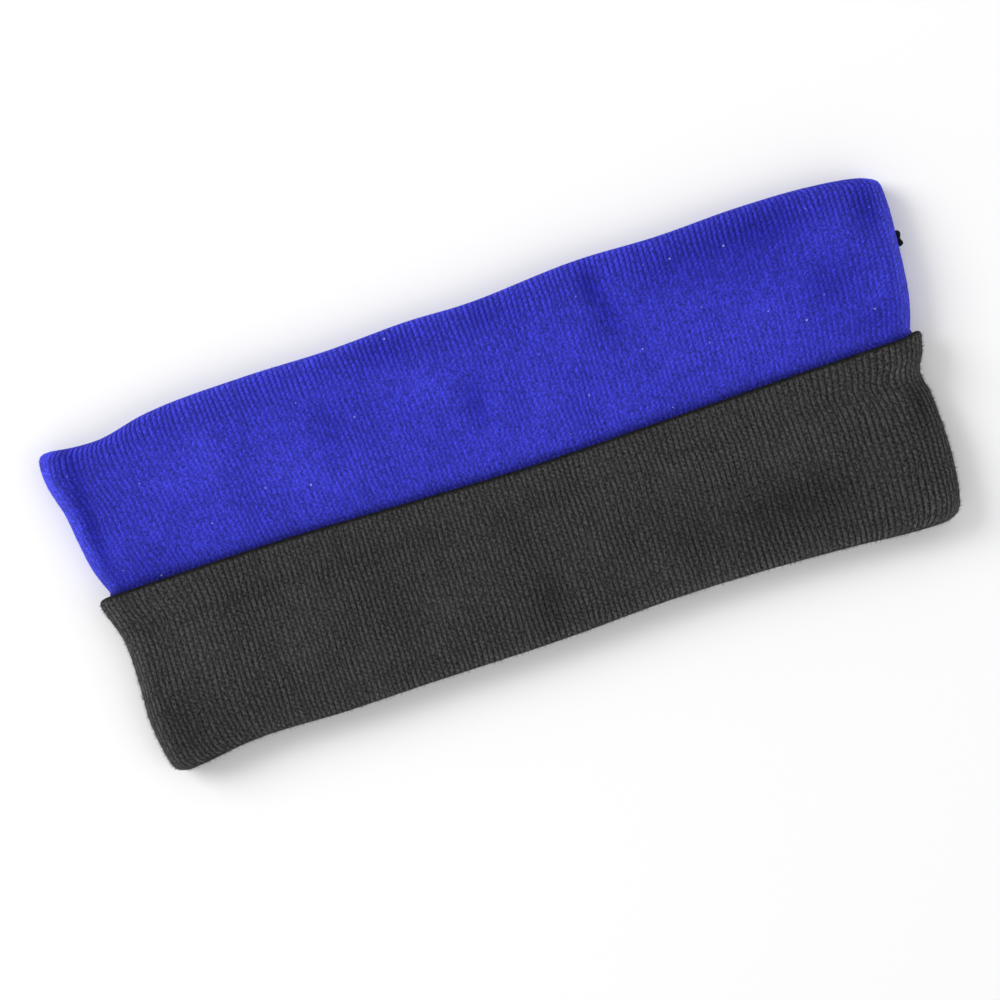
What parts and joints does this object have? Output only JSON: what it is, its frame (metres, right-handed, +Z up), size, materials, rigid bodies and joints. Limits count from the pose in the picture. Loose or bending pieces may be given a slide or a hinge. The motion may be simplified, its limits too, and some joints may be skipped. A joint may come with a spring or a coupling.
{
  "type": "sports headband",
  "caption": "Wide reversible rib-knit headband, a flat-lying doubled loop of two colours joined by a lengthwise seam, with a small folded label at one end.",
  "frame": {"origin": "on the surface that the band lies on, under the middle of its box", "axes": "+X along the band towards the end with the label, +Y across it towards the blue fold, +Z up from the surface"},
  "size_m": [0.2388, 0.0962, 0.0124],
  "materials": {
    "blue_knit": "matte brushed rib knit",
    "black_knit": "matte rib knit, charcoal black",
    "black_thread": "spun polyester sewing thread",
    "blue_thread": "spun polyester sewing thread",
    "label_ribbon": "woven satin ribbon"
  },
  "bodies": {
    "black_half": {"black_panel": "black_knit", "join_seam_allowance": "black_knit", "join_seam_thread": "black_thread", "overlock_thread": "black_thread", "black_closing_thread": "black_thread"},
    "blue_half": {"blue_panel": "blue_knit", "blue_closing_thread": "blue_thread", "label_tab": "label_ribbon"}
  },
  "joints": [
    {"name": "seam_fold", "type": "hinge", "parent": "black_half", "child": "blue_half", "pos_m": [0, 0.0021, 0.0128], "axis": [1, 0, 0], "range_deg": [0, 180]}
  ]
}
